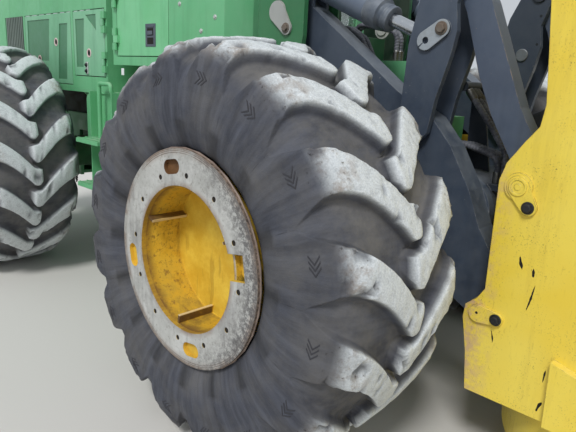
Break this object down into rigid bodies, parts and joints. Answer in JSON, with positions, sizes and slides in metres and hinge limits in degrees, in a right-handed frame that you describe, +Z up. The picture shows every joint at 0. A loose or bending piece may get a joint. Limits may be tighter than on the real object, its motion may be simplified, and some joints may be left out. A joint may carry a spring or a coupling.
{
  "type": "wheeled feller buncher",
  "caption": "Articulated wheeled machine that cuts trees with a disc saw head on lift arms, with clamp and accumulator arms, hood, cab and forestry tyres.",
  "frame": {"origin": "on the ground at the centre of the machine's box", "axes": "+X forward to the head, +Y left, +Z up"},
  "size_m": [7.15, 3.12, 3.32],
  "materials": {
    "green_paint": "satin, dusty",
    "black_paint": "satin",
    "axle_paint": "dirty, satin",
    "engine_iron": "matte",
    "window_glass": "clear, tinted",
    "seat_fabric": "woven",
    "exhaust_steel": "heat stained",
    "lamp_plastic": "matte",
    "keeper_steel": "worn grey",
    "slate_paint": "satin, worn",
    "rod_chrome": "polished",
    "yellow_paint": "gloss, scuffed",
    "saw_steel": "worn",
    "tyre_rubber": "worn, dusty",
    "hose_rubber": "matte, spiral wrapped"
  },
  "bodies": {
    "rear_frame": {"rear_frame": "green_paint", "counterweight": "green_paint", "rear_axle": "axle_paint", "engine_block": "engine_iron", "hood": "green_paint", "side_louvres": "black_paint", "rear_grille": "black_paint", "engine_shield_right": "green_paint", "engine_shield_left": "green_paint", "cab_shell": "green_paint", "cab_roof": "green_paint", "cab_glass": "window_glass", "seat": "seat_fabric", "fuel_tanks": "green_paint", "steps_and_handles": "black_paint", "exhaust_stack": "exhaust_steel", "work_lamps": "lamp_plastic"},
    "engine_door_right": {"engine_door_right": "green_paint"},
    "engine_door_left": {"engine_door_left": "green_paint"},
    "service_door": {"service_door": "green_paint"},
    "cab_door": {"cab_door": "green_paint", "cab_door_glass": "window_glass"},
    "front_frame": {"front_frame": "green_paint", "front_deck": "green_paint", "front_axle": "axle_paint", "lift_tower": "green_paint", "tower_pins": "keeper_steel", "tower_hoses": "hose_rubber"},
    "wheel_front_right": {"tyre_front_right": "tyre_rubber", "rim_front_right": "yellow_paint"},
    "wheel_front_left": {"tyre_front_left": "tyre_rubber", "rim_front_left": "yellow_paint"},
    "wheel_rear_right": {"tyre_rear_right": "tyre_rubber", "rim_rear_right": "yellow_paint"},
    "wheel_rear_left": {"tyre_rear_left": "tyre_rubber", "rim_rear_left": "yellow_paint"},
    "lift_arms": {"lift_arms": "slate_paint", "arm_hoses": "hose_rubber"},
    "lift_barrels": {"lift_cylinder_barrels": "slate_paint"},
    "lift_rods": {"lift_cylinder_rods": "rod_chrome"},
    "tilt_levers": {"tilt_levers": "slate_paint"},
    "tilt_links": {"tilt_links": "slate_paint"},
    "tilt_barrels": {"tilt_cylinder_barrels": "slate_paint"},
    "tilt_rods": {"tilt_cylinder_rods": "rod_chrome"},
    "head": {"head_frame": "yellow_paint", "saw_housing": "yellow_paint"},
    "saw_disc": {"saw_disc": "saw_steel"},
    "clamp_arm_right": {"clamp_arm_right": "slate_paint"},
    "clamp_arm_left": {"clamp_arm_left": "slate_paint"},
    "accumulator_arm_right": {"accumulator_arm_right": "slate_paint"},
    "accumulator_arm_left": {"accumulator_arm_left": "slate_paint"},
    "steer_barrel_right": {"steer_barrel_right": "slate_paint"},
    "steer_barrel_left": {"steer_barrel_left": "slate_paint"},
    "steer_rod_right": {"steer_rod_right": "rod_chrome"},
    "steer_rod_left": {"steer_rod_left": "rod_chrome"}
  },
  "joints": [
    {"name": "steer", "type": "hinge", "parent": "rear_frame", "child": "front_frame", "pos_m": [-0.45, 0, 0.95], "axis": [0, 0, 1], "range_deg": [-40, 40]},
    {"name": "wheel_front_right_roll", "type": "hinge", "parent": "front_frame", "child": "wheel_front_right", "pos_m": [1.175, -1.1725, 0.91], "axis": [0, 1, 0], "continuous": true},
    {"name": "wheel_front_left_roll", "type": "hinge", "parent": "front_frame", "child": "wheel_front_left", "pos_m": [1.175, 1.1725, 0.91], "axis": [0, 1, 0], "continuous": true},
    {"name": "wheel_rear_right_roll", "type": "hinge", "parent": "rear_frame", "child": "wheel_rear_right", "pos_m": [-2.075, -1.1725, 0.91], "axis": [0, 1, 0], "continuous": true},
    {"name": "wheel_rear_left_roll", "type": "hinge", "parent": "rear_frame", "child": "wheel_rear_left", "pos_m": [-2.075, 1.1725, 0.91], "axis": [0, 1, 0], "continuous": true},
    {"name": "lift", "type": "hinge", "parent": "front_frame", "child": "lift_arms", "pos_m": [0.751, 0, 2.003], "axis": [0, -1, 0], "range_deg": [0, 32]},
    {"name": "lift_barrel_swing", "type": "hinge", "parent": "front_frame", "child": "lift_barrels", "pos_m": [0.725, 0, 0.76], "axis": [0, -1, 0], "range_deg": [-3, 3]},
    {"name": "lift_rod_stroke", "type": "slide", "parent": "lift_barrels", "child": "lift_rods", "axis": [0.518, 0, 0.8554], "range_m": [-0.002, 0.37]},
    {"name": "tilt", "type": "hinge", "parent": "lift_arms", "child": "head", "pos_m": [2.071, 0, 0.737], "axis": [0, -1, 0], "range_deg": [-12, 18]},
    {"name": "tilt_lever_swing", "type": "hinge", "parent": "lift_arms", "child": "tilt_levers", "pos_m": [1.605, 0, 1.45], "axis": [0, -1, 0], "range_deg": [-12, 16]},
    {"name": "tilt_link_swing", "type": "hinge", "parent": "tilt_levers", "child": "tilt_links", "pos_m": [1.733, 0, 2.158], "axis": [0, -1, 0], "range_deg": [-17, 13]},
    {"name": "tilt_barrel_swing", "type": "hinge", "parent": "lift_arms", "child": "tilt_barrels", "pos_m": [0.875, 0, 2.167], "axis": [0, -1, 0], "range_deg": [-5, 5]},
    {"name": "tilt_rod_stroke", "type": "slide", "parent": "tilt_barrels", "child": "tilt_rods", "axis": [0.9229, 0, -0.385], "range_m": [-0.1, 0.08]},
    {"name": "saw_spin", "type": "hinge", "parent": "head", "child": "saw_disc", "pos_m": [2.805, 0, 0.2275], "axis": [0, 0, 1], "continuous": true},
    {"name": "clamp_arm_right_swing", "type": "hinge", "parent": "head", "child": "clamp_arm_right", "pos_m": [2.66, -0.59, 0.965], "axis": [0, 0, -1], "range_deg": [0, 75]},
    {"name": "accumulator_arm_right_swing", "type": "hinge", "parent": "head", "child": "accumulator_arm_right", "pos_m": [2.66, -0.59, 1.485], "axis": [0, 0, -1], "range_deg": [0, 75]},
    {"name": "clamp_arm_left_swing", "type": "hinge", "parent": "head", "child": "clamp_arm_left", "pos_m": [2.66, 0.59, 0.965], "axis": [0, 0, 1], "range_deg": [0, 75]},
    {"name": "accumulator_arm_left_swing", "type": "hinge", "parent": "head", "child": "accumulator_arm_left", "pos_m": [2.66, 0.59, 1.485], "axis": [0, 0, 1], "range_deg": [0, 75]},
    {"name": "steer_barrel_right_swing", "type": "hinge", "parent": "rear_frame", "child": "steer_barrel_right", "pos_m": [-1.4, -0.42, 0.945], "axis": [0, 0, 1], "range_deg": [-10, 10]},
    {"name": "steer_rod_right_stroke", "type": "slide", "parent": "steer_barrel_right", "child": "steer_rod_right", "axis": [1, 0, 0], "range_m": [-0.33, 0.33]},
    {"name": "steer_barrel_left_swing", "type": "hinge", "parent": "rear_frame", "child": "steer_barrel_left", "pos_m": [-1.4, 0.42, 0.945], "axis": [0, 0, 1], "range_deg": [-10, 10]},
    {"name": "steer_rod_left_stroke", "type": "slide", "parent": "steer_barrel_left", "child": "steer_rod_left", "axis": [1, 0, 0], "range_m": [-0.33, 0.33]},
    {"name": "engine_door_right_swing", "type": "hinge", "parent": "rear_frame", "child": "engine_door_right", "pos_m": [-1.008, -0.716, 1.85], "axis": [0, 0, 1], "range_deg": [0, 90]},
    {"name": "engine_door_left_swing", "type": "hinge", "parent": "rear_frame", "child": "engine_door_left", "pos_m": [-1.008, 0.716, 1.85], "axis": [0, 0, -1], "range_deg": [0, 90]},
    {"name": "service_door_swing", "type": "hinge", "parent": "rear_frame", "child": "service_door", "pos_m": [-0.842, -0.706, 2.02], "axis": [0, 0, -1], "range_deg": [0, 90]},
    {"name": "cab_door_swing", "type": "hinge", "parent": "rear_frame", "child": "cab_door", "pos_m": [-0.582, 0.706, 2.4], "axis": [0, 0, 1], "range_deg": [0, 100]}
  ],
  "couplings": [
    {"joint": "lift_barrel_swing", "follows": "lift", "ratio": -0.0542},
    {"joint": "lift_rod_stroke", "follows": "lift", "m_per_rad": 0.6579},
    {"joint": "tilt_lever_swing", "follows": "tilt", "ratio": 0.7267},
    {"joint": "tilt_link_swing", "follows": "tilt", "ratio": -0.776},
    {"joint": "tilt_barrel_swing", "follows": "tilt", "ratio": -0.134},
    {"joint": "tilt_rod_stroke", "follows": "tilt", "m_per_rad": -0.2695},
    {"joint": "steer_barrel_left_swing", "follows": "steer", "ratio": 0.17},
    {"joint": "steer_rod_left_stroke", "follows": "steer", "m_per_rad": -0.405},
    {"joint": "steer_barrel_right_swing", "follows": "steer", "ratio": 0.17},
    {"joint": "steer_rod_right_stroke", "follows": "steer", "m_per_rad": 0.405}
  ]
}
